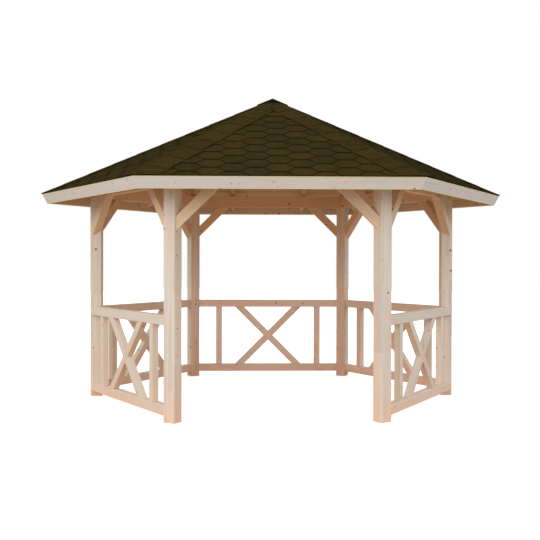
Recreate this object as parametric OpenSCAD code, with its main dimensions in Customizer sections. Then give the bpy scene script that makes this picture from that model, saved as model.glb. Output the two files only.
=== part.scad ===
// Hexagonal garden gazebo in spruce: six posts, a ring of beams with knee braces,
// five balustrades with crossed bars, and a six-sided roof covered with shingles.
// The origin is on the ground under the apex. The open side faces -Y.

/* [Plan] */
// Distance from the middle of the gazebo to the middle of each post
post_ring_r = 1900; // [1500:10:2800]

/* [Posts] */
// Side of the square posts
post_w = 120; // [100:5:160]
// Height of the posts, which is also the underside of the ring beams
post_h = 2140; // [1950:5:2500]
// Width of the eased edges of the posts
post_edge = 4; // [2:1:8]

/* [Ring beams] */
// Thickness of the ring beams, seen in plan
beam_t = 90; // [60:5:110]
// Height of the ring beams
beam_h = 140; // [100:5:200]

/* [Knee braces] */
// Thickness of the knee braces, seen in plan
brace_t = 80; // [50:5:90]
// Width of the knee braces, seen from the front
brace_w = 90; // [60:5:110]
// Distance from the post face to the foot of the brace's lower edge on the beam
brace_reach = 387; // [250:1:500]
// How far the middle of the braces lies outside the middle of the ring beams
brace_set = 22; // [0:1:30]

/* [Balustrades] */
// Height of the top of the handrail above the ground
handrail_z = 966; // [850:1:1150]
// Gap between the ground and the bottom rail
foot_gap = 60; // [20:5:150]
// Height of both rails
rail_h = 90; // [60:5:120]
// Thickness of both rails, seen in plan
rail_t = 85; // [60:5:95]
// Width of the two upright bars
upright_w = 75; // [50:5:100]
// Clear gap between a post face and the nearest upright bar
upright_gap = 236; // [150:2:300]
// Width of the crossed bars
cross_w = 80; // [50:5:100]
// Thickness of the upright and crossed bars, seen in plan
bar_t = 60; // [30:5:80]
// How far the bars lie behind the outer face of the rails
bar_set = 5; // [0:1:15]

/* [Roof frame] */
// Pitch of the six roof faces
pitch = 25.5; // [18:0.5:35]
// Level distance from the middle of the ring beams to the eave
overhang = 510; // [300:5:700]
// Width of the jack rafters
jack_w = 45; // [30:5:70]
// Distance between the middles of the two jack rafters of a face
jack_spacing = 900; // [600:10:1000]
// Width of the hip rafters
hip_w = 60; // [40:5:80]
// Depth of the rafters, square to the roof
rafter_h = 95; // [70:5:140]
// How far the rafters are let down over the ring beams
notch = 8; // [2:1:20]
// Upright height that a level cut takes off the lower corner of the jack rafter tails
tail_cut = 48; // [0:1:70]
// Corner radius of the six-sided block in which the hip rafters meet
hub_r = 75; // [60:5:110]
// How far the block hangs below the hip rafters
hub_drop = 45; // [0:5:120]

/* [Roof boards and fascia] */
// Thickness of the roof boards
board_t = 19; // [12:1:28]
// Thickness of the fascia boards
fascia_t = 20; // [15:1:30]
// Height of the fascia boards, square to the roof
fascia_h = 116; // [90:1:160]

/* [Covering] */
// Thickness of the overlapped shingles
shingle_t = 10; // [6:1:14]
// How far the shingles reach past the fascia
shingle_lap = 5; // [2:1:25]
// Level distance from the hip to the edge of the hip caps
cap_w = 200; // [120:5:250]
// Thickness of the hip caps
cap_t = 6; // [3:1:10]
// Corner radius of the apex cap
apex_r = 170; // [90:5:250]
// Thickness of the apex cap
apex_t = 5; // [3:1:10]

/* [Hidden] */

// Directions seen from above, counted from +X towards +Y
right = 0;
back_right = 30;
post_back_right_dir = 60;
back = 90;
post_back_left_dir = 120;
back_left = 150;
left = 180;
front_left = 210;
post_front_left_dir = 240;
front = 270;
post_front_right_dir = 300;
front_right = 330;

side_count = 6;
side_angle = 360 / side_count;
half_angle = side_angle / 2;

// Gap between solids that meet within one node
joint_gap = 0.3;

// Level distance from the middle to the middle of each ring beam
ring_x = post_ring_r * cos(half_angle);
// Level distance from the middle to the middle of the post faces that the rails meet
rail_x = ring_x + post_w / 2 * sin(half_angle);
// Outer face of the ring beams
beam_out_x = ring_x + beam_t / 2;
beam_top_z = post_h + beam_h;

// The eave is the upper outer edge of the fascia, level with the top of the roof boards
eave_x = ring_x + overhang;
roof_stack = rafter_h + board_t;
eave_z = beam_top_z - notch + roof_stack / cos(pitch) - (eave_x - beam_out_x) * tan(pitch);
slope_length = eave_x / cos(pitch);
board_apex_z = eave_z + eave_x * tan(pitch);
// Length by which a slab runs on before the hip planes cut it
run_on = 60;
// Larger than the roof each way, for the shapes that cut it
cut_size = 2 * eave_x;

// Half the clear width between the two post faces of a side, at a level distance x
function clear_half(x) = x * tan(half_angle) - post_w / 2 / cos(half_angle);

// Point of a roof face's section: up is the way up the slope from the eave, down the depth
// below the top of the boards, square to the slope
function on_slope(up, down) = [
    eave_x - up * cos(pitch) - down * sin(pitch),
    eave_z + up * sin(pitch) - down * cos(pitch)
];

// Height of a plane under the roof boards, at a level distance x square to the eave
function under_boards_z(x, down) = board_apex_z - (board_t + down) / cos(pitch) - x * tan(pitch);

// Shared shapes, each with +X pointing out of its side

// Prism between the post faces of a side
module between_posts(x_in, x_out, z_low, z_high) {
    translate([0, 0, z_low])
        linear_extrude(height = z_high - z_low)
            polygon([
                [x_in, -clear_half(x_in)],
                [x_out, -clear_half(x_out)],
                [x_out, clear_half(x_out)],
                [x_in, clear_half(x_in)]
            ]);
}

// Outline in the side's upright plane, given thickness from x_in to x_out
module upright_slab(x_in, x_out, outline) {
    translate([x_in, 0, 0])
        rotate([90, 0, 90])
            linear_extrude(height = x_out - x_in)
                polygon(outline);
}

// Upright wedge over one roof face, with its two sides moved in from the hips
module face_wedge(inset) {
    tip_x = inset / sin(half_angle);
    far_x = eave_x + 2 * run_on;
    far_y = (far_x - tip_x) * tan(half_angle);
    linear_extrude(height = board_apex_z + 2 * run_on)
        polygon([[tip_x, 0], [far_x, -far_y], [far_x, far_y]]);
}

// Sloping slab of a roof face, from up_low to up_high and between two depths
module slope_slab(up_low, up_high, down_top, down_bottom) {
    rotate([90, 0, 0])
        linear_extrude(height = cut_size + 4 * run_on, center = true)
            polygon([
                on_slope(up_low, down_top),
                on_slope(up_high, down_top),
                on_slope(up_high, down_bottom),
                on_slope(up_low, down_bottom)
            ]);
}

// Section of a rafter, let down over the ring beam. slope is its own fall per level length,
// top_z its top over the middle, plumb its upright depth, heel_x the beam's outer face along it
module rafter_section(width, slope, top_z, plumb, x_in, x_out, heel_x) {
    under_z = top_z - plumb;
    seat_x = (under_z - beam_top_z) / slope;
    rotate([90, 0, 0])
        linear_extrude(height = width, center = true)
            polygon([
                [x_in, top_z - x_in * slope],
                [x_out, top_z - x_out * slope],
                [x_out, under_z - x_out * slope],
                [heel_x, under_z - heel_x * slope],
                [heel_x, beam_top_z],
                [seat_x, beam_top_z],
                [x_in, under_z - x_in * slope]
            ]);
}

module post(direction) {
    half = post_w / 2;
    flat = half - post_edge;
    color("#d9c4ae")
        rotate([0, 0, direction])
            translate([post_ring_r, 0, 0])
                linear_extrude(height = post_h)
                    polygon([
                        [half, -flat], [half, flat], [flat, half], [-flat, half],
                        [-half, flat], [-half, -flat], [-flat, -half], [flat, -half]
                    ]);
}

module ring_beam(direction) {
    x_in = ring_x - beam_t / 2;
    color("#c9a077")
        rotate([0, 0, direction])
            translate([0, 0, post_h])
                linear_extrude(height = beam_h)
                    polygon([
                        [x_in, -x_in * tan(half_angle)],
                        [beam_out_x, -beam_out_x * tan(half_angle)],
                        [beam_out_x, beam_out_x * tan(half_angle)],
                        [x_in, x_in * tan(half_angle)]
                    ]);
}

// One brace at 45 degrees, on the side's +Y post
module knee_brace() {
    x_mid = ring_x + brace_set;
    x_in = x_mid - brace_t / 2;
    x_out = x_mid + brace_t / 2;
    toe_y = clear_half(x_mid) - brace_reach;
    edge_y = brace_w * sqrt(2);
    end_y = clear_half(x_out) + post_w;
    intersection() {
        upright_slab(x_in, x_out, [
            [toe_y, post_h],
            [end_y, post_h - (end_y - toe_y)],
            [end_y, post_h - (end_y - toe_y) + edge_y],
            [toe_y + edge_y, post_h]
        ]);
        between_posts(x_in, x_out, 0, post_h);
    }
}

module knee_braces(direction) {
    color("#d4b394")
        rotate([0, 0, direction]) {
            knee_brace();
            mirror([0, 1, 0])
                knee_brace();
        }
}

module balustrade(direction) {
    rail_in = rail_x - rail_t / 2;
    rail_out = rail_x + rail_t / 2;
    bar_out = rail_out - bar_set;
    bar_in = bar_out - bar_t;
    low_z = foot_gap + rail_h + joint_gap;
    high_z = handrail_z - rail_h - joint_gap;
    mid_z = (low_z + high_z) / 2;
    half_h = (high_z - low_z) / 2;
    upright_out = clear_half(rail_x) - upright_gap;
    upright_in = upright_out - upright_w;
    // Half the level width of a crossed bar, and the same across the whole bar and its gap
    cut = cross_w / sqrt(2);
    side = cut + joint_gap * sqrt(2);
    color("#dcc6ae")
        rotate([0, 0, direction]) {
            between_posts(rail_in, rail_out, foot_gap, foot_gap + rail_h);
            between_posts(rail_in, rail_out, handrail_z - rail_h, handrail_z);
            for (turn = [1, -1])
                upright_slab(bar_in, bar_out, [
                    [turn * upright_in, low_z],
                    [turn * upright_out, low_z],
                    [turn * upright_out, high_z],
                    [turn * upright_in, high_z]
                ]);
            upright_slab(bar_in, bar_out, [
                [-half_h - cut, low_z],
                [-half_h + cut, low_z],
                [half_h + cut, high_z],
                [half_h - cut, high_z]
            ]);
            for (turn = [1, -1])
                upright_slab(bar_in, bar_out, [
                    [turn * (half_h - cut), mid_z - turn * half_h],
                    [turn * (half_h + cut), mid_z - turn * half_h],
                    [turn * (side + cut) / 2, mid_z + turn * (cut - side) / 2],
                    [turn * (side - cut) / 2, mid_z - turn * (cut + side) / 2]
                ]);
        }
}

module jack_rafter() {
    tail_z = on_slope(fascia_t, roof_stack)[1] + tail_cut;
    intersection() {
        translate([0, jack_spacing / 2, 0])
            rafter_section(
                width = jack_w,
                slope = tan(pitch),
                top_z = under_boards_z(0, 0),
                plumb = rafter_h / cos(pitch),
                x_in = 0,
                x_out = eave_x + run_on,
                heel_x = beam_out_x
            );
        face_wedge(hip_w / 2);
        slope_slab(fascia_t, slope_length + run_on, 0, roof_stack + run_on);
        translate([0, 0, tail_z])
            linear_extrude(height = board_apex_z)
                square(cut_size);
    }
}

module jack_rafters() {
    color("#a8794c")
        for (face = [0 : side_count - 1])
            rotate([0, 0, back_right + face * side_angle]) {
                jack_rafter();
                mirror([0, 1, 0])
                    jack_rafter();
            }
}

// One hip rafter over a post, along +X. Its flat top touches the boards with both edges
module hip_rafter() {
    fall = tan(pitch) * cos(half_angle);
    edge_drop = hip_w / 2 * tan(pitch) * sin(half_angle);
    intersection() {
        rafter_section(
            width = hip_w,
            slope = fall,
            top_z = under_boards_z(0, 0) - edge_drop,
            plumb = rafter_h / cos(pitch) - edge_drop,
            x_in = hub_r * cos(half_angle) + joint_gap,
            x_out = (eave_x + run_on) / cos(half_angle),
            heel_x = beam_out_x / cos(half_angle)
        );
        rotate([0, 0, half_angle])
            slope_slab(fascia_t, slope_length + run_on, 0, roof_stack + run_on);
        rotate([0, 0, -half_angle])
            slope_slab(fascia_t, slope_length + run_on, 0, roof_stack + run_on);
    }
}

module hip_rafters() {
    hub_top_z = under_boards_z(hub_r, 0);
    hub_low_z = under_boards_z(hub_r, rafter_h) - hub_drop;
    color("#9a6c42") {
        for (hip = [0 : side_count - 1])
            rotate([0, 0, hip * side_angle])
                hip_rafter();
        rotate([0, 0, half_angle])
            translate([0, 0, hub_low_z])
                cylinder(h = hub_top_z - hub_low_z, r = hub_r, $fn = 6);
    }
}

module roof_boards(direction) {
    color("#a06f3f")
        rotate([0, 0, direction])
            intersection() {
                slope_slab(fascia_t, slope_length + run_on, 0, board_t);
                face_wedge(0);
            }
}

module fascia(direction) {
    color("#dccdb9")
        rotate([0, 0, direction])
            intersection() {
                slope_slab(0, fascia_t, 0, fascia_h);
                face_wedge(0);
            }
}

module shingles(direction) {
    color("#40382a")
        rotate([0, 0, direction])
            intersection() {
                slope_slab(-shingle_lap, slope_length + run_on, -shingle_t, 0);
                face_wedge(0);
            }
}

// Half of a hip cap, on the roof face at +half_angle or -half_angle from the hip. The halves are
// parted along the fold, so that each is a flat slab
module hip_cap_half(turn) {
    fold_y = turn * joint_gap / 2;
    tip_x = joint_gap / sin(half_angle);
    wide_x = tip_x + cap_w / tan(half_angle);
    end_x = (eave_x + 2 * run_on) / cos(half_angle);
    intersection() {
        rotate([0, 0, turn * half_angle])
            slope_slab(-shingle_lap, slope_length + run_on, -shingle_t - cap_t, -shingle_t);
        linear_extrude(height = board_apex_z + 2 * run_on)
            polygon([
                [tip_x, fold_y],
                [wide_x, turn * cap_w],
                [end_x, turn * cap_w],
                [end_x, fold_y]
            ]);
    }
}

module hip_caps() {
    color("#352e22")
        for (hip = [0 : side_count - 1])
            rotate([0, 0, hip * side_angle]) {
                hip_cap_half(1);
                hip_cap_half(-1);
            }
}

module apex_cap() {
    under_z = board_apex_z + (shingle_t + cap_t) / cos(pitch);
    thick_z = apex_t / cos(pitch);
    fall_z = apex_r * cos(half_angle) * tan(pitch);
    color("#1f1b16")
        rotate_extrude($fn = 6)
            polygon([
                [0, under_z],
                [apex_r, under_z - fall_z],
                [apex_r, under_z - fall_z + thick_z],
                [0, under_z + thick_z]
            ]);
}

post(left);  // post_left
post(post_front_left_dir);  // post_front_left
post(post_front_right_dir);  // post_front_right
post(right);  // post_right
post(post_back_right_dir);  // post_back_right
post(post_back_left_dir);  // post_back_left

ring_beam(front);  // beam_front
ring_beam(front_right);  // beam_front_right
ring_beam(back_right);  // beam_back_right
ring_beam(back);  // beam_back
ring_beam(back_left);  // beam_back_left
ring_beam(front_left);  // beam_front_left

knee_braces(front);  // knee_braces_front
knee_braces(front_right);  // knee_braces_front_right
knee_braces(back_right);  // knee_braces_back_right
knee_braces(back);  // knee_braces_back
knee_braces(back_left);  // knee_braces_back_left
knee_braces(front_left);  // knee_braces_front_left

balustrade(front_right);  // balustrade_front_right
balustrade(back_right);  // balustrade_back_right
balustrade(back);  // balustrade_back
balustrade(back_left);  // balustrade_back_left
balustrade(front_left);  // balustrade_front_left

hip_rafters();
jack_rafters();

roof_boards(front);  // roof_boards_front
roof_boards(front_right);  // roof_boards_front_right
roof_boards(back_right);  // roof_boards_back_right
roof_boards(back);  // roof_boards_back
roof_boards(back_left);  // roof_boards_back_left
roof_boards(front_left);  // roof_boards_front_left

fascia(front);  // fascia_front
fascia(front_right);  // fascia_front_right
fascia(back_right);  // fascia_back_right
fascia(back);  // fascia_back
fascia(back_left);  // fascia_back_left
fascia(front_left);  // fascia_front_left

shingles(front);  // shingles_front
shingles(front_right);  // shingles_front_right
shingles(back_right);  // shingles_back_right
shingles(back);  // shingles_back
shingles(back_left);  // shingles_back_left
shingles(front_left);  // shingles_front_left

hip_caps();
apex_cap();
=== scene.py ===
import math
import random

import bmesh
import bpy
from mathutils import Matrix, Vector
from mathutils.kdtree import KDTree


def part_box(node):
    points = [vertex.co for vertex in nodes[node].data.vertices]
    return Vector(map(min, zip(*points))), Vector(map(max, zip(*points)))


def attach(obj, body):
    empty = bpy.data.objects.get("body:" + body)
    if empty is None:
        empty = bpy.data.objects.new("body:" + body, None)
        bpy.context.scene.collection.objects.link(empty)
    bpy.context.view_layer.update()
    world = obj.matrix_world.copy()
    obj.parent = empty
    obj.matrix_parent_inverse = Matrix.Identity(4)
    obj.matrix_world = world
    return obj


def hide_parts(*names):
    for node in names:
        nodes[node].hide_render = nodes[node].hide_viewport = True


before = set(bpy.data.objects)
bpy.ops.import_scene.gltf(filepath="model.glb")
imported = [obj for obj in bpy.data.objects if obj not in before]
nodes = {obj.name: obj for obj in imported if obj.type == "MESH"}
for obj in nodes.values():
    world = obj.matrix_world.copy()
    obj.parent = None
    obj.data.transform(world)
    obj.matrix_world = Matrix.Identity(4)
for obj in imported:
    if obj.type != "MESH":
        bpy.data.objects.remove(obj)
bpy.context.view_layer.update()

millimetre = 0.001
sides = {"front": 270, "front_right": 330, "back_right": 30, "back": 90, "back_left": 150, "front_left": 210}
sideTurn = 60  # degrees from one side to the next
hipTurn = sideTurn / 2  # degrees from the middle of a side to its hips
halfSide = math.radians(hipTurn)
samePoint = 0.02 * millimetre  # corners closer than this are one corner
onPlane = 0.001 * millimetre  # corners this close to a cutting plane lie on it
print("frame loaded:", len(nodes), "nodes")


# The roof as the frame has it: eave, apex and pitch, all on the upper face of the boards
boardCorners = [vertex.co for vertex in nodes["roof_boards_front"].data.vertices]
boardEdge = min(boardCorners, key=lambda corner: corner.y)
apexZ = max(corner.z for corner in boardCorners)
apexUnderZ = min(corner.z for corner in boardCorners if corner.xy.length < millimetre)
pitch = math.atan2(apexZ - boardEdge.z, -boardEdge.y)
eaveX = -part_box("fascia_front")[0].y
eaveZ = apexZ - eaveX * math.tan(pitch)
slopeLength = eaveX / math.cos(pitch)
fasciaThickness = (eaveX + boardEdge.y) / math.cos(pitch)
boardThickness = (apexZ - apexUnderZ) * math.cos(pitch)


def outward(azimuth):
    angle = math.radians(azimuth)
    return Vector((math.cos(angle), math.sin(angle), 0))


def alongSide(azimuth):
    angle = math.radians(azimuth)
    return Vector((-math.sin(angle), math.cos(angle), 0))


# Point on a roof face: along the eave, up the slope, and lifted off the boards
def slopePoint(azimuth, along, up, lift):
    level = eaveX - up * math.cos(pitch) + lift * math.sin(pitch)
    height = eaveZ + up * math.sin(pitch) + lift * math.cos(pitch)
    return outward(azimuth) * level + alongSide(azimuth) * along + Vector((0, 0, height))


# How far up the slope a point lies
def slopeHeight(azimuth, point):
    return (eaveX - point.dot(outward(azimuth))) * math.cos(pitch) + (point.z - eaveZ) * math.sin(pitch)


def toLinear(hexColour):
    channels = [int(hexColour[i:i + 2], 16) / 255 for i in (1, 3, 5)]
    return [c / 12.92 if c <= 0.04045 else ((c + 0.055) / 1.055) ** 2.4 for c in channels] + [1.0]


# Adds a node: settings are its properties, inputs its socket values, and links the sockets that feed it.
# A node given as a link stands for its first output. A colour mix has its share in input 0, its two colours
# in 6 and 7, and its result in output 2
def addNode(tree, kind, settings=None, inputs=None, links=None):
    node = tree.nodes.new(kind)
    for name, value in (settings or {}).items():
        setattr(node, name, value)
    for socket, value in (inputs or {}).items():
        node.inputs[socket].default_value = value
    for socket, source in (links or {}).items():
        output = source.outputs[0] if isinstance(source, bpy.types.Node) else source
        tree.links.new(output, node.inputs[socket])
    return node


def newMaterial(name):
    material = bpy.data.materials.new(name)
    material.use_nodes = True
    tree = material.node_tree
    tree.nodes.clear()
    return material, tree


# Camera: stands at eye height in front of the open side, a little left of the middle. Angles in degrees
camera = {"place": (-0.308, -9.687, 1.456), "yaw": 1.68, "pitch": -0.56, "roll": -0.12, "lens": 59.3133,
          "sensor": 36.0}
cameraData = bpy.data.cameras.new("viewCamera")
cameraData.sensor_width = camera["sensor"]
cameraData.lens = camera["lens"]
cameraObject = bpy.data.objects.new("viewCamera", cameraData)
cameraObject.location = camera["place"]
cameraObject.rotation_euler = (Matrix.Rotation(math.radians(-camera["yaw"]), 3, "Z")
                               @ Matrix.Rotation(math.radians(90 + camera["pitch"]), 3, "X")
                               @ Matrix.Rotation(math.radians(-camera["roll"]), 3, "Z")).to_euler()
bpy.context.scene.collection.objects.link(cameraObject)
bpy.context.scene.camera = cameraObject
print("camera placed")


# Most of a noise lies between these two values
noiseSpan = {"From Min": 0.3, "From Max": 0.7}


# Planed spruce: softwood run through a planer and left bare. The eye sees pale cream wood with soft growth
# rings, small brown knots and a satin face. Real rings are 2 to 3 mm apart: they are drawn wider here,
# as finer ones would not show from a few metres
def planedSpruce(name, wood):
    material, tree = newMaterial(name)
    place = addNode(tree, "ShaderNodeAttribute", {"attribute_name": "grain"}).outputs["Vector"]
    tone = addNode(tree, "ShaderNodeAttribute", {"attribute_name": "tone"}).outputs["Fac"]
    axes = addNode(tree, "ShaderNodeSeparateXYZ", links={0: place})
    # glued lamellas: each strip has rings and a tone of its own
    strip = addNode(tree, "ShaderNodeMath", {"operation": "DIVIDE"}, {1: wood["lamella"]},
                    {0: axes.outputs["X"]})
    stripNumber = addNode(tree, "ShaderNodeMath", {"operation": "FLOOR"}, links={0: strip})
    # each lamella is finger-jointed from lengths that start at their own height
    height = addNode(tree, "ShaderNodeMath", {"operation": "MULTIPLY_ADD"}, {1: wood["jointStep"]},
                     {0: stripNumber, 2: axes.outputs["Z"]})
    pieceShare = addNode(tree, "ShaderNodeMath", {"operation": "DIVIDE"}, {1: wood["pieceLength"]},
                         {0: height})
    pieceNumber = addNode(tree, "ShaderNodeMath", {"operation": "FLOOR"}, links={0: pieceShare})
    pieceSeed = addNode(tree, "ShaderNodeMath", {"operation": "MULTIPLY_ADD"}, {1: wood["pieceSeed"]},
                        {0: pieceNumber, 2: stripNumber})
    stripSeed = addNode(tree, "ShaderNodeMath", {"operation": "MULTIPLY_ADD"}, {1: wood["timberSeed"]},
                        {0: tone, 2: pieceSeed})
    stripNoise = addNode(tree, "ShaderNodeTexWhiteNoise", {"noise_dimensions": "1D"}, links={"W": stripSeed})
    shift = addNode(tree, "ShaderNodeVectorMath", {"operation": "MULTIPLY_ADD"}, {1: wood["lamellaShift"]},
                    {0: stripNoise.outputs["Color"], 2: place})
    # growth rings, long waves along the stem: at scale 1 the wave node draws a ring every pi / 10
    stretched = addNode(tree, "ShaderNodeVectorMath", {"operation": "MULTIPLY"}, {1: (1, 1, wood["stretch"])},
                        {0: shift})
    rings = addNode(tree, "ShaderNodeTexWave",
                    {"wave_type": "RINGS", "rings_direction": "Z", "wave_profile": "SAW"},
                    {"Scale": math.pi / 10 / wood["ring"], "Distortion": wood["waviness"], "Detail": 2.0,
                     "Detail Scale": 0.35, "Detail Roughness": 0.55}, {"Vector": stretched}).outputs["Fac"]
    # fibre: hair-fine streaks along the grain, drawn coarser than real
    fibrePlace = addNode(tree, "ShaderNodeVectorMath", {"operation": "MULTIPLY"},
                         {1: (1, 1, wood["fibreStretch"])}, {0: shift})
    fibre = addNode(tree, "ShaderNodeTexNoise", {"noise_dimensions": "3D"},
                    {"Scale": 1 / wood["fibre"], "Detail": 3.0, "Roughness": 0.6}, {"Vector": fibrePlace})
    cloud = addNode(tree, "ShaderNodeTexNoise", {"noise_dimensions": "3D"},
                    {"Scale": 1 / wood["cloud"], "Detail": 2.0}, {"Vector": stretched})
    # knots: where branches left the stem. Some cells of the pattern have none, the others one of any size
    knotCells = addNode(tree, "ShaderNodeTexVoronoi", {"voronoi_dimensions": "3D"},
                        {"Scale": 1 / wood["knotSpacing"]}, {"Vector": shift})
    knotPick = addNode(tree, "ShaderNodeSeparateColor", links={0: knotCells.outputs["Color"]})
    knotSize = addNode(tree, "ShaderNodeMapRange", None,
                       {"From Min": wood["knotless"], "To Max": wood["knot"] / wood["knotSpacing"]},
                       {"Value": knotPick})
    knotReach = addNode(tree, "ShaderNodeMath", {"operation": "SUBTRACT"}, None,
                        {0: knotSize, 1: knotCells.outputs["Distance"]})
    knotCore = addNode(tree, "ShaderNodeMapRange", {"interpolation_type": "SMOOTHSTEP"},
                       {"From Max": wood["knotEdge"], "To Max": wood["knotStrength"]}, {"Value": knotReach})
    knotHalo = addNode(tree, "ShaderNodeMapRange", {"interpolation_type": "SMOOTHSTEP"},
                       {"From Min": -wood["haloWidth"], "From Max": wood["haloInset"],
                        "To Max": wood["haloStrength"]}, {"Value": knotReach})
    # heartwood shows as long streaks with more red in them
    blushNoise = addNode(tree, "ShaderNodeTexNoise", {"noise_dimensions": "3D"},
                         {"Scale": 1 / wood["blushWidth"], "Detail": 2.0}, {"Vector": stretched})
    blushShare = addNode(tree, "ShaderNodeMapRange", {"interpolation_type": "SMOOTHSTEP"},
                         {"From Min": wood["blushFrom"], "From Max": wood["blushTo"],
                          "To Max": wood["blushStrength"]}, {"Value": blushNoise})
    # painted highlight: the long edges of a planed board are drawn paler, as if they catch more light
    edge = addNode(tree, "ShaderNodeAttribute", {"attribute_name": "edge"}).outputs["Fac"]
    edgeReach = addNode(tree, "ShaderNodeMath", {"operation": "ABSOLUTE"}, links={0: edge})
    edgeHighlightShare = addNode(tree, "ShaderNodeMapRange", {"interpolation_type": "SMOOTHSTEP"},
                        {"From Min": wood["edgeFrom"], "From Max": wood["edgeTo"],
                         "To Max": wood["edgeStrength"]}, {"Value": edgeReach})
    # colour: early and late wood, then the streaks and the painted edge highlight
    ringShare = addNode(tree, "ShaderNodeMath", {"operation": "MULTIPLY"}, {1: wood["ringStrength"]},
                        {0: rings})
    colour = addNode(tree, "ShaderNodeMix", {"data_type": "RGBA"},
                     {6: toLinear(wood["early"]), 7: toLinear(wood["late"])}, {0: ringShare}).outputs[2]
    for share, stain in ((blushShare, "blush"), (edgeHighlightShare, "edgeHighlight")):
        colour = addNode(tree, "ShaderNodeMix", {"data_type": "RGBA"}, {7: toLinear(wood[stain])},
                         {0: share, 6: colour}).outputs[2]
    # shade of the fibre, of wide patches, of the lamella and of the whole timber
    shades = ((fibre, noiseSpan, 1 - wood["fibreStrength"], 1 + wood["fibreStrength"]),
              (cloud, noiseSpan, *wood["cloudShade"]),
              (stripNoise.outputs["Value"], {}, 1 - wood["stripStrength"], 1 + wood["stripStrength"]),
              (tone, {}, 1 - wood["toneStrength"], 1 + wood["toneStrength"]))
    for source, span, darkest, lightest in shades:
        shade = addNode(tree, "ShaderNodeMapRange", None,
                        {**span, "To Min": darkest, "To Max": lightest}, {"Value": source})
        colour = addNode(tree, "ShaderNodeVectorMath", {"operation": "SCALE"}, None,
                         {0: colour, "Scale": shade})
    for share, stain in ((knotHalo, "halo"), (knotCore, "knotColour")):
        colour = addNode(tree, "ShaderNodeMix", {"data_type": "RGBA"}, {7: toLinear(wood[stain])},
                         {0: share, 6: colour}).outputs[2]
    # planer satin: late wood and fibre stand a little proud
    relief = addNode(tree, "ShaderNodeMath", {"operation": "MULTIPLY_ADD"}, {1: wood["ringRelief"]},
                     {0: rings, 2: fibre})
    bump = addNode(tree, "ShaderNodeBump", None, {"Strength": wood["bump"], "Distance": wood["relief"]},
                   {"Height": relief})
    smoothest, roughest = wood["roughness"]
    rough = addNode(tree, "ShaderNodeMapRange", None, {**noiseSpan, "To Min": smoothest, "To Max": roughest},
                    {"Value": fibre})
    surface = addNode(tree, "ShaderNodeBsdfPrincipled", None, {"IOR": 1.5, "Specular IOR Level": 0.25},
                      {"Base Color": colour, "Roughness": rough, "Normal": bump})
    addNode(tree, "ShaderNodeOutputMaterial", links={"Surface": surface})
    return material


# The posts: glued from lamellas. The widths of knot edges and halos are shares of the knot spacing
spruce = {"early": "#EDE2D2", "late": "#DBC3A5", "ring": 9 * millimetre, "ringStrength": 0.75,
          "stretch": 0.05, "waviness": 1.6,
          "fibre": 5 * millimetre, "fibreStretch": 0.018, "fibreStrength": 0.05,
          "cloud": 200 * millimetre, "cloudShade": (0.94, 1.05),
          "lamella": 40 * millimetre, "lamellaShift": (0.2, 0.2, 4.0), "pieceLength": 620 * millimetre,
          "jointStep": 0.37, "pieceSeed": 7.31, "timberSeed": 31.7, "stripStrength": 0.05,
          "toneStrength": 0.035, "blush": "#E9C4A2", "blushWidth": 50 * millimetre, "blushFrom": 0.42,
          "blushTo": 0.62, "blushStrength": 0.45, "edgeHighlight": "#FFF0D2", "edgeFrom": 0.84, "edgeTo": 0.95,
          "edgeStrength": 0.15, "knotColour": "#4A2F1F", "knotSpacing": 90 * millimetre,
          "knot": 13 * millimetre, "knotless": 0.3, "knotEdge": 0.025, "knotStrength": 0.85,
          "halo": "#BE8A5C", "haloWidth": 0.09, "haloInset": 0.02, "haloStrength": 0.45,
          "roughness": (0.54, 0.68), "bump": 0.35, "relief": 0.6 * millimetre, "ringRelief": 0.35}
# Sawn from one log: lamella and length are larger than any timber here
sawn = {**spruce, "lamella": 3.0, "pieceLength": 50.0}
postSpruce = planedSpruce("planedSpruceLaminated", spruce)
railSpruce = planedSpruce("planedSpruceRail", {**sawn, "ring": 8 * millimetre})
# Beams, braces and rafters: the same spruce drawn warmer, partly the wood's own colour and partly painted
# warm shade under the roof
frameSpruce = planedSpruce("planedSpruceFrame", {**sawn, "early": "#ECD3B2", "late": "#D5AA7B",
                                                 "toneStrength": 0.05})
# The fascia carries a strong cream painted highlight along both long edges
fasciaSpruce = planedSpruce("planedSpruceFascia", {
    **sawn, "early": "#EEE3D6", "late": "#DECBB8", "ring": 11 * millimetre, "blush": "#E3D0BE",
    "edgeHighlight": "#FFE8A6", "edgeStrength": 1.0})
# Tongue and groove boards: the same spruce drawn more orange, partly the wood's own colour and partly painted
# warm shade under the roof, planed on the room side only
boardSpruce = planedSpruce("matchedSpruceBoard", {
    **sawn, "early": "#F8E2BC", "late": "#E8BA84", "halo": "#A06A36", "knotColour": "#5E3A1C",
    "toneStrength": 0.1, "fibreStrength": 0.08, "blush": "#E4B880", "blushStrength": 0.35,
    "edgeStrength": 0.0})
print("wood materials made")


# Wood grain runs along each timber. Every loose solid gets its own grain place (across, across, along)
# from its longest real edge, with a chance shift, so that no two timbers show the same figure
grain = {"realEdge": 0.2, "square": 0.1, "level": 0.01,
         "shiftAcross": (0.02, 0.16), "shiftDeep": (0.03, 0.2), "shiftAlong": (0, 40)}


# The loose solids of a mesh, always in the same order, so that each run draws the same grain
def looseSolids(work):
    met = set()
    for start in work.verts:
        if start in met:
            continue
        met.add(start)
        solid, waiting = [], [start]
        while waiting:
            vertex = waiting.pop()
            solid.append(vertex)
            for near in (link.other_vert(vertex) for link in vertex.link_edges):
                if near not in met:
                    met.add(near)
                    waiting.append(near)
        yield solid


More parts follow.
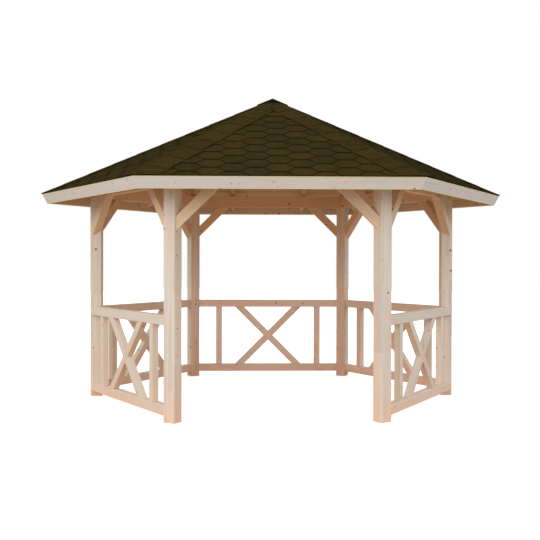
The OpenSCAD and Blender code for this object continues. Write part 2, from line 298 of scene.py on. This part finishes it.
def markGrain(piece, seed):
    chance = random.Random(seed)
    mesh = piece.data
    work = bmesh.new()
    work.from_mesh(mesh)
    bmesh.ops.remove_doubles(work, verts=work.verts, dist=samePoint)
    corners, found = KDTree(len(work.verts)), []
    for solid in looseSolids(work):
        middle = sum((vertex.co for vertex in solid), Vector()) / len(solid)
        realEdges = (link for vertex in solid for link in vertex.link_edges
                     if link.calc_face_angle(0) > grain["realEdge"])
        longest = max(realEdges, key=lambda link: link.calc_length())
        along = (longest.verts[1].co - longest.verts[0].co).normalized()
        if along.z < -grain["level"] or (abs(along.z) < grain["level"] and along.x < 0):
            along.negate()
        beside = (face for vertex in solid for face in vertex.link_faces
                  if abs(face.normal.dot(along)) < grain["square"])
        darkJointAndShadow = max(beside, key=lambda face: face.calc_area()).normal.copy()
        across = along.cross(darkJointAndShadow).normalized()
        shift = Vector([chance.uniform(*grain[name]) for name in ("shiftAcross", "shiftDeep", "shiftAlong")])
        tone = chance.random()
        halfWidth = max(across.dot(vertex.co - middle) for vertex in solid)
        for vertex in solid:
            offset = vertex.co - middle
            place = Vector((across.dot(offset), darkJointAndShadow.dot(offset), along.dot(offset)))
            corners.insert(vertex.co, len(found))
            found.append((place + shift, tone, place.x / halfWidth))
    corners.balance()
    work.free()
    marks = [found[corners.find(vertex.co)[1]] for vertex in mesh.vertices]
    places = mesh.attributes.new("grain", "FLOAT_VECTOR", "POINT")
    places.data.foreach_set("vector", [value for mark in marks for value in mark[0]])
    mesh.attributes.new("tone", "FLOAT", "POINT").data.foreach_set("value", [mark[1] for mark in marks])
    mesh.attributes.new("edge", "FLOAT", "POINT").data.foreach_set("value", [mark[2] for mark in marks])


# Sawn timbers keep their CAD shape: the corners are eased as a planer leaves them, in millimetres here
timberEdges = {"post_": (postSpruce, 2.0), "beam_": (frameSpruce, 2.5), "knee_braces_": (frameSpruce, 2.5),
               "balustrade_": (railSpruce, 3.0), "hip_rafters": (frameSpruce, 2.0),
               "jack_rafters": (frameSpruce, 2.0), "fascia_": (fasciaSpruce, 1.5)}
sharpEdge = math.radians(25)
firstSeed = 11
for number, (name, piece) in enumerate(sorted(nodes.items())):
    for start, (material, easing) in timberEdges.items():
        if name.startswith(start):
            markGrain(piece, number + firstSeed)
            piece.data.materials.clear()
            piece.data.materials.append(material)
            weld = piece.modifiers.new("weld", "WELD")
            weld.merge_threshold = samePoint
            bevel = piece.modifiers.new("easedEdges", "BEVEL")
            bevel.width = easing * millimetre
            bevel.segments = 2
            bevel.limit_method = "ANGLE"
            bevel.angle_limit = sharpEdge
print("timbers finished")


# A made piece: each of its corners carries a tone and a grain place
def newWork():
    work = bmesh.new()
    toneLayer = work.verts.layers.float.new("tone")
    grainLayer = work.verts.layers.float_vector.new("grain")
    return work, {"tone": toneLayer, "grain": grainLayer}


def newCorner(work, layers, place, tone, grainPlace=(0, 0, 0)):
    vertex = work.verts.new(place)
    vertex[layers["tone"]] = tone
    vertex[layers["grain"]] = grainPlace
    return vertex


def newPiece(name, work, materials, replaced):
    bmesh.ops.delete(work, geom=[vertex for vertex in work.verts if not vertex.link_faces], context="VERTS")
    mesh = bpy.data.meshes.new(name)
    bmesh.ops.recalc_face_normals(work, faces=work.faces)
    work.to_mesh(mesh)
    work.free()
    piece = bpy.data.objects.new(name, mesh)
    bpy.context.scene.collection.objects.link(piece)
    for material in materials:
        mesh.materials.append(material)
    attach(piece, "root")
    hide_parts(replaced)


# Cuts away all that lies beyond a plane and closes the cut
def trimBeyond(work, point, normal):
    geometry = work.verts[:] + work.edges[:] + work.faces[:]
    bmesh.ops.bisect_plane(work, geom=geometry, dist=onPlane, plane_co=point, plane_no=normal,
                           clear_outer=True)
    bmesh.ops.holes_fill(work, edges=[edge for edge in work.edges if edge.is_boundary], sides=0)


# A roof face ends at the upright planes through its two hips
def trimAtHips(work, azimuth):
    for turn in (-1, 1):
        trimBeyond(work, (0, 0, 0), alongSide(azimuth + turn * hipTurn) * turn)


# Half the width of a roof face, this far up the slope
def halfFace(up):
    return (slopeLength - up) / slopeLength * eaveX * math.tan(halfSide)


# Roof boards seen from below: matched boards laid level, each with a small V joint at both edges
boarding = {"cover": 96 * millimetre, "joint": 0.8 * millimetre, "chamfer": 3.5 * millimetre,
            "pastApex": 20 * millimetre, "pastHip": 50 * millimetre, "shift": (0.3, 0.3, 40),
            "firstSeed": 400}
for sideNumber, (side, azimuth) in enumerate(sides.items()):
    chance = random.Random(boarding["firstSeed"] + sideNumber)
    work, layers = newWork()
    low = fasciaThickness
    while low < slopeLength:
        high = min(low + boarding["cover"], slopeLength + boarding["pastApex"])
        reach = halfFace(low) + boarding["pastHip"]
        edge = high - boarding["joint"]
        bottom, chamfer = -boardThickness, boarding["chamfer"]
        outline = [(low, 0), (edge, 0), (edge, bottom + chamfer), (edge - chamfer, bottom),
                   (low + chamfer, bottom), (low, bottom + chamfer)]
        shift = Vector([chance.uniform(0, most) for most in boarding["shift"]])
        tone = chance.random()
        ends = []
        for along in (-reach, reach):
            ends.append([newCorner(work, layers, slopePoint(azimuth, along, up, lift), tone,
                                   Vector((up, lift, along)) + shift) for up, lift in outline])
        work.faces.new(ends[0])
        work.faces.new(reversed(ends[1]))
        for i in range(len(outline)):
            j = (i + 1) % len(outline)
            work.faces.new([ends[0][i], ends[1][i], ends[1][j], ends[0][j]])
        low = high
    trimAtHips(work, azimuth)
    newPiece("matchedBoards_" + side, work, [boardSpruce], "roof_boards_" + side)
print("roof boards laid")


# Bitumen shingle: glass felt soaked in bitumen and rolled with crushed slate. The eye sees a matt, gritty,
# dark olive brown with lighter grains, each tab a shade apart, and a near-black band along the cut edges,
# partly the dark joints and partly painted shadow of the tab edges.
# Real grit is 1 to 2 mm: it is drawn about five times coarser, and the dark edge wider, so that they show
def bitumenShingle(name, felt, banded):
    material, tree = newMaterial(name)
    tone = addNode(tree, "ShaderNodeAttribute", {"attribute_name": "tone"}).outputs["Fac"]
    spot = addNode(tree, "ShaderNodeTexCoord").outputs["Object"]
    grit = addNode(tree, "ShaderNodeTexNoise", None,
                   {"Scale": 1 / felt["grain"], "Detail": 2.0, "Roughness": 0.75}, {"Vector": spot})
    chips = addNode(tree, "ShaderNodeTexVoronoi", None, {"Scale": felt["chipShare"] / felt["grain"]},
                    {"Vector": spot})
    chipTone = addNode(tree, "ShaderNodeSeparateColor", links={0: chips.outputs["Color"]})
    patch = addNode(tree, "ShaderNodeTexNoise", None,
                    {"Scale": 1 / felt["patch"], "Detail": 3.0, "Roughness": 0.6}, {"Vector": spot})
    speckle = addNode(tree, "ShaderNodeMapRange", None,
                      {"From Min": felt["speckleFrom"], "To Max": felt["speckleStrength"]},
                      {"Value": chipTone})
    colour = addNode(tree, "ShaderNodeMix", {"data_type": "RGBA"},
                     {6: toLinear(felt["base"]), 7: toLinear(felt["grit"])}, {0: speckle}).outputs[2]
    for source, span, strength in ((tone, {}, "toneStrength"), (grit, noiseSpan, "gritStrength"),
                                   (patch, noiseSpan, "patchStrength")):
        shade = addNode(tree, "ShaderNodeMapRange", None,
                        {**span, "To Min": 1 - felt[strength], "To Max": 1 + felt[strength]},
                        {"Value": source})
        colour = addNode(tree, "ShaderNodeVectorMath", {"operation": "SCALE"}, None,
                         {0: colour, "Scale": shade})
    # near-black band round each tab's edge: partly dark joints, partly painted shadow of the tab edges
    if banded:
        # distance from the middle of the six-sided tab, 1 on its edge
        place = addNode(tree, "ShaderNodeAttribute", {"attribute_name": "grain"}).outputs["Vector"]
        axes = addNode(tree, "ShaderNodeSeparateXYZ", links={0: place})
        sideways = addNode(tree, "ShaderNodeMath", {"operation": "ABSOLUTE"}, links={0: axes.outputs["X"]})
        upways = addNode(tree, "ShaderNodeMath", {"operation": "ABSOLUTE"}, links={0: axes.outputs["Y"]})
        slanted = addNode(tree, "ShaderNodeMath", {"operation": "MULTIPLY_ADD"},
                          {1: felt["flat"] / 2 / felt["exposure"]}, {0: upways, 2: sideways})
        slantedShare = addNode(tree, "ShaderNodeMath", {"operation": "DIVIDE"}, {1: felt["flat"]},
                               {0: slanted})
        levelShare = addNode(tree, "ShaderNodeMath", {"operation": "DIVIDE"}, {1: felt["exposure"]},
                             {0: upways})
        reach = addNode(tree, "ShaderNodeMath", {"operation": "MAXIMUM"}, None,
                        {0: slantedShare, 1: levelShare})
        # the grit makes the inner edge of the band ragged
        ragged = addNode(tree, "ShaderNodeMath", {"operation": "MULTIPLY_ADD"}, {1: felt["ragged"]},
                         {0: grit, 2: reach})
        jointShadowBand = addNode(tree, "ShaderNodeMapRange", {"interpolation_type": "SMOOTHSTEP"},
                       {"From Min": felt["bandFrom"] + felt["ragged"] / 2,
                        "From Max": felt["bandTo"] + felt["ragged"] / 2, "To Max": felt["bandStrength"]},
                       {"Value": ragged})
        colour = addNode(tree, "ShaderNodeMix", {"data_type": "RGBA"}, {7: toLinear(felt["darkJointAndShadow"])},
                         {0: jointShadowBand, 6: colour}).outputs[2]
    height = addNode(tree, "ShaderNodeMath", {"operation": "ADD"}, links={0: grit, 1: chipTone})
    bump = addNode(tree, "ShaderNodeBump", None, {"Strength": felt["bump"], "Distance": felt["relief"]},
                   {"Height": height})
    smoothest, roughest = felt["roughness"]
    rough = addNode(tree, "ShaderNodeMapRange", None, {"To Min": smoothest, "To Max": roughest},
                    {"Value": grit})
    surface = addNode(tree, "ShaderNodeBsdfPrincipled", None, {"Specular IOR Level": 0.0},
                      {"Base Color": colour, "Roughness": rough, "Normal": bump})
    addNode(tree, "ShaderNodeOutputMaterial", links={"Surface": surface})
    return material


# One shingle tab is a half hexagon: flat is its lower edge, exposure the height that stays in sight
shingle = {"exposure": 104.2 * millimetre, "flat": 133 * millimetre, "thickness": 3.2 * millimetre,
           "sheets": 3, "hidden": 12 * millimetre, "slack": 0.1 * millimetre, "outOfLine": 1 * millimetre,
           "curl": 0.9 * millimetre, "firstSeed": 700,
           "base": "#352C14", "darkJointAndShadow": "#17120A", "grit": "#4C4327", "grain": 8 * millimetre, "chipShare": 0.6,
           "speckleFrom": 0.86, "speckleStrength": 0.45, "gritStrength": 0.3, "patch": 111.1 * millimetre,
           "patchStrength": 0.16, "toneStrength": 0.12, "bandFrom": 0.9, "bandTo": 0.99, "bandStrength": 0.5,
           "ragged": 0.08, "bump": 0.6, "relief": 1.2 * millimetre, "roughness": (0.8, 0.97)}
tabShingle = bitumenShingle("bitumenFeltShingle", shingle, True)
# Cut edge of the felt: bare bitumen, no slate, so it is nearly black
cutEdge = bitumenShingle("bitumenCutEdge", {
    **shingle, "base": "#1C170D", "grit": "#231F16", "toneStrength": 0.05}, False)
# Hip caps: single tabs of the same shingle folded over the hip
capShingle = bitumenShingle("bitumenFeltHipCap", {**shingle, "toneStrength": 0.1}, False)
# Apex cap: plain felt without slate, smoother and darker than the shingles
apexFelt = bitumenShingle("bitumenFeltPlain", {
    **shingle, "base": "#161613", "grit": "#24231F", "grain": 5 * millimetre, "toneStrength": 0.05}, False)

# The lowest course reaches past the eave by this much
lap = -min(slopeHeight(sides["front"], vertex.co) for vertex in nodes["shingles_front"].data.vertices)
period = 3 * shingle["flat"]
rowCount = math.ceil((slopeLength + lap) / shingle["exposure"])


# Height over the boards of a course's upper face: its lower edge lies on two courses, its top on the boards
def courseLift(behindEdge):
    return shingle["thickness"] * (shingle["sheets"] - behindEdge / shingle["exposure"]) - shingle["slack"]


# One course of a face: half-hexagon tabs hanging from a whole strip. The course before the first has no tabs
def addCourse(work, layers, azimuth, row, chance):
    exposure, flat = shingle["exposure"], shingle["flat"]
    edge = row * exposure - lap
    first = -math.ceil((halfFace(edge) + period) / period)
    offset = 0 if row % 2 else period / 2
    thickness = shingle["thickness"] - shingle["slack"]
    down = (slopePoint(azimuth, 0, 0, 0) - slopePoint(azimuth, 0, 0, 1)) * thickness
    top = 2 * exposure + shingle["hidden"]
    corners = [(-flat / 2, 0), (flat / 2, 0), (-flat, exposure), (flat, exposure), (-flat, top), (flat, top)]
    tabs = []
    for i in range(first, -first + 1):
        middle = offset + i * period
        tone = chance.random()
        jitter = chance.uniform(-1, 1) * shingle["outOfLine"]
        tab = []
        for number, (sideways, up) in enumerate(corners):
            wear = jitter if number < 2 else 0
            curl = chance.uniform(-1, 0) * shingle["curl"] if number < 2 and row > 0 else 0
            lift = courseLift(up) + curl
            point = slopePoint(azimuth, middle + sideways + wear, edge + up + abs(wear), lift)
            tab.append([newCorner(work, layers, place, tone, (sideways, up - exposure, i))
                        for place in (point, point + down)])
        tabs.append(tab)

    def face(corners, isEdge=False):
        work.faces.new(corners).material_index = 1 if isEdge else 0

    hasTabs = row >= 0
    for i, tab in enumerate(tabs):
        for quad in ([(0, 1, 3, 2)] if hasTabs else []) + [(2, 3, 5, 4)]:
            face([tab[c][0] for c in quad])
            face([tab[c][1] for c in reversed(quad)])
        for a, b in ([(0, 1), (1, 3), (2, 0)] if hasTabs else [(2, 3)]) + [(5, 4)]:
            face([tab[a][0], tab[a][1], tab[b][1], tab[b][0]], True)
        if i + 1 < len(tabs):
            other = tabs[i + 1]
            face([tab[3][0], other[2][0], other[4][0], tab[5][0]])
            face([tab[5][1], other[4][1], other[2][1], tab[3][1]])
            face([tab[3][0], tab[3][1], other[2][1], other[2][0]], True)
            face([other[4][0], other[4][1], tab[5][1], tab[5][0]], True)
    for a, b, tab in ((4, 2, tabs[0]), (3, 5, tabs[-1])):
        face([tab[a][0], tab[a][1], tab[b][1], tab[b][0]], True)


for sideNumber, (side, azimuth) in enumerate(sides.items()):
    chance = random.Random(shingle["firstSeed"] + sideNumber)
    whole, layers = newWork()
    for row in range(-1, rowCount):
        work, layers = newWork()
        addCourse(work, layers, azimuth, row, chance)
        trimAtHips(work, azimuth)
        courseMesh = bpy.data.meshes.new("course")
        work.to_mesh(courseMesh)
        work.free()
        whole.from_mesh(courseMesh)
        bpy.data.meshes.remove(courseMesh)
    newPiece("shingleCourses_" + side, whole, [tabShingle, cutEdge], "shingles_" + side)
print("shingles laid:", rowCount, "courses a side")


# Hip caps: shingle tabs folded over each hip, the upper one over the lower one. Shares are of the half width,
# and the corners from the curling share outwards lift or sink a little
hipCap = {"halfWidth": 200 * millimetre, "exposure": 262 * millimetre, "overlap": 45 * millimetre,
          "sheets": 2, "thickness": 2.8 * millimetre, "slack": 0.1 * millimetre,
          "foldRadius": 11 * millimetre, "innerFold": 0.7, "cornerCut": 26 * millimetre,
          "bed": 10 * millimetre, "outOfLine": 7 * millimetre,
          "shares": [-1, -0.86, -0.5, -0.12, -0.04, 0, 0.04, 0.12, 0.5, 0.86, 1], "curlingShare": 0.8,
          "curl": (-0.7 * millimetre, 0.3 * millimetre), "pastEave": 20 * millimetre,
          "shortOfApex": 50 * millimetre, "firstSeed": 900}


# Point on the covering beside a hip: level distance along the hip and across it, lift off the boards
def hipPoint(direction, along, across, lift, roundness):
    softened = math.hypot(across, roundness)
    fall = (along * math.cos(halfSide) + softened * math.sin(halfSide)) * math.tan(pitch)
    height = apexZ - fall + lift / math.cos(pitch)
    return outward(direction) * along + alongSide(direction) * across + Vector((0, 0, height))


for hipNumber in range(len(sides)):
    direction = hipNumber * sideTurn
    chance = random.Random(hipCap["firstSeed"] + hipNumber)
    work, layers = newWork()
    low = (eaveX + lap * math.cos(pitch)) / math.cos(halfSide) + hipCap["pastEave"]
    while low > hipCap["shortOfApex"]:
        tone = chance.random()
        skew = chance.uniform(-1, 1) * hipCap["outOfLine"]
        steps = [0, hipCap["cornerCut"], hipCap["exposure"] / 2, hipCap["exposure"],
                 hipCap["exposure"] + hipCap["overlap"]]
        grid = []
        for number, behind in enumerate(steps):
            width = hipCap["halfWidth"] - (hipCap["cornerCut"] if number == 0 else 0)
            lift = hipCap["bed"] + hipCap["thickness"] * (hipCap["sheets"] - behind / hipCap["exposure"])
            line = []
            for share in hipCap["shares"]:
                curl = chance.uniform(*hipCap["curl"]) if abs(share) > hipCap["curlingShare"] else 0
                pair = []
                for drop, fold in ((hipCap["slack"], 1), (hipCap["thickness"], hipCap["innerFold"])):
                    place = hipPoint(direction, low - behind, share * width + skew, lift - drop + curl,
                                     hipCap["foldRadius"] * fold)
                    pair.append(newCorner(work, layers, place, tone))
                line.append(pair)
            grid.append(line)
        last = len(hipCap["shares"]) - 1
        for i in range(len(steps) - 1):
            for j in range(last):
                upper = [grid[i][j][0], grid[i][j + 1][0], grid[i + 1][j + 1][0], grid[i + 1][j][0]]
                lower = [grid[i][j][1], grid[i + 1][j][1], grid[i + 1][j + 1][1], grid[i][j + 1][1]]
                for corners in (upper, lower):
                    work.faces.new(corners).smooth = True
            for j in (0, last):
                work.faces.new([grid[i][j][0], grid[i + 1][j][0], grid[i + 1][j][1], grid[i][j][1]])
        for i in (0, len(steps) - 1):
            for j in range(last):
                edge = [grid[i][j][0], grid[i][j][1], grid[i][j + 1][1], grid[i][j + 1][0]]
                work.faces.new(edge).material_index = 1
        low -= hipCap["exposure"]
    # level with the lowest course at the eave, and no further than the middle of each roof face
    for turn in (-1, 1):
        face = direction + turn * hipTurn
        upSlope = slopePoint(face, 0, 1, 0) - slopePoint(face, 0, 0, 0)
        trimBeyond(work, slopePoint(face, 0, -lap, 0), -upSlope)
        trimBeyond(work, (0, 0, 0), alongSide(face) * turn)
    newPiece("hipCapTabs_" + str(direction), work, [capShingle, cutEdge], "hip_caps")
print("hip caps laid")


# Apex cap: one piece of plain felt folded to six sides, its hem turned down a little
apexLow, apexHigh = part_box("apex_cap")
apexCap = {"radius": (apexHigh.x - apexLow.x) / 2, "thickness": 4.5 * millimetre, "hem": 1 * millimetre,
           "slack": 1.2 * millimetre, "clearance": 0.6 * millimetre, "shares": (0.05, 0.12, 0.5, 0.9, 1.0),
           "corners": 24}
wholeFall = apexHigh.z - apexLow.z - apexCap["thickness"] - apexCap["hem"]
around = range(apexCap["corners"])
work, layers = newWork()
top, under = [], []
for share in apexCap["shares"]:
    for rings, drop in ((top, 0), (under, apexCap["thickness"])):
        ring = []
        for number in around:
            angle = math.radians(number * 360 / apexCap["corners"])
            hexagon = math.cos(halfSide) / math.cos(angle % (2 * halfSide) - halfSide)
            radius = apexCap["radius"] * share * hexagon
            slack = apexCap["slack"] * share * math.sin(angle * 3) ** 2
            hem = apexCap["hem"] if share == 1 else 0
            height = apexHigh.z - wholeFall * share - hem - drop - slack - apexCap["clearance"]
            place = (radius * math.cos(angle), radius * math.sin(angle), height)
            ring.append(newCorner(work, layers, place, 0.5))
        rings.append(ring)
for rings, turn in ((top, 1), (under, -1)):
    for first, second in zip(rings, rings[1:]):
        for i in around:
            j = (i + 1) % apexCap["corners"]
            work.faces.new([first[i], first[j], second[j], second[i]][::turn])
for i in around:
    j = (i + 1) % apexCap["corners"]
    work.faces.new([top[-1][i], top[-1][j], under[-1][j], under[-1][i]]).material_index = 1
work.faces.new(top[0])
work.faces.new(reversed(under[0]))
newPiece("apexFelt", work, [apexFelt, cutEdge], "apex_cap")
print("apex cap made")


# Studio: a wide pale floor that stays white, a soft dome and three large soft lamps. Under the floor lie a
# warm cloth, which lights the timber from below as wood and earth under a roof do, and a grey cloth round it
studio = {"floorReach": 42.0, "floorColour": "#F2F2F0", "floorGlow": 0.75, "warmReach": 2.3,
          "warmColour": "#EE9F45", "greyColour": "#A39B8E", "domeColour": "#EEF4FF", "domeStrength": 0.98,
          "aimHeight": 1.5}


def stageSheet(name, reach, corners, height, material):
    work = bmesh.new()
    outline = []
    for number in range(corners):
        turn = 2 * math.pi * number / corners
        outline.append(work.verts.new((reach * math.cos(turn), reach * math.sin(turn), height)))
    work.faces.new(outline)
    mesh = bpy.data.meshes.new(name)
    work.to_mesh(mesh)
    work.free()
    mesh.materials.append(material)
    sheet = bpy.data.objects.new(name, mesh)
    bpy.context.scene.collection.objects.link(sheet)
    return sheet


floorPaint, tree = newMaterial("mattWhiteStudioFloor")
paint = addNode(tree, "ShaderNodeBsdfPrincipled", None, {
    "Base Color": toLinear(studio["floorColour"]), "Roughness": 0.9, "Specular IOR Level": 0.1,
    "Emission Color": toLinear(studio["floorColour"]), "Emission Strength": studio["floorGlow"]})
addNode(tree, "ShaderNodeOutputMaterial", links={"Surface": paint})
studioFloor = stageSheet("studioFloor", studio["floorReach"], 4, 0, floorPaint)
# the floor is only seen: the light that comes back from the ground is the cloths'
studioFloor.visible_diffuse = False
studioFloor.visible_glossy = False
studioFloor.visible_shadow = False
cloths = {"warmCloth": (studio["warmReach"], 6, -2 * millimetre, studio["warmColour"]),
          "greyCloth": (studio["floorReach"], 4, -4 * millimetre, studio["greyColour"])}
for name, (reach, corners, height, colour) in cloths.items():
    clothDye, tree = newMaterial(name + "Felt")
    dye = addNode(tree, "ShaderNodeBsdfDiffuse", None, {"Color": toLinear(colour)})
    addNode(tree, "ShaderNodeOutputMaterial", links={"Surface": dye})
    stageSheet(name, reach, corners, height, clothDye).visible_camera = False

world = bpy.data.worlds.new("studioDome")
bpy.context.scene.world = world
world.use_nodes = True
tree = world.node_tree
tree.nodes.clear()
dome = addNode(tree, "ShaderNodeBackground", None,
               {"Color": toLinear(studio["domeColour"]), "Strength": studio["domeStrength"]})
backdrop = addNode(tree, "ShaderNodeBackground", None, {"Color": (1, 1, 1, 1), "Strength": 1.0})
seen = addNode(tree, "ShaderNodeLightPath").outputs["Is Camera Ray"]
mixed = addNode(tree, "ShaderNodeMixShader", links={0: seen, 1: dome, 2: backdrop})
addNode(tree, "ShaderNodeOutputWorld", links={"Surface": mixed})

lamps = {"lampLeft": {"place": (-7.5, -9.0, 5.0), "power": 400, "size": 5.0, "colour": "#F8FAFF"},
         "lampRight": {"place": (8.5, -7.5, 5.0), "power": 215, "size": 5.0, "colour": "#E0ECFF"},
         "lampTop": {"place": (-1.0, -1.0, 10.0), "power": 200, "size": 7.0, "colour": "#FFFFFF"}}
for name, lamp in lamps.items():
    lampData = bpy.data.lights.new(name, "AREA")
    lampData.energy = lamp["power"]
    lampData.size = lamp["size"]
    lampData.color = toLinear(lamp["colour"])[:3]
    lampObject = bpy.data.objects.new(name, lampData)
    lampObject.location = lamp["place"]
    aim = Vector((0, 0, studio["aimHeight"])) - Vector(lamp["place"])
    lampObject.rotation_euler = aim.to_track_quat("-Z", "Y").to_euler()
    bpy.context.scene.collection.objects.link(lampObject)
bpy.context.scene.view_settings.view_transform = "Standard"
print("studio lit")
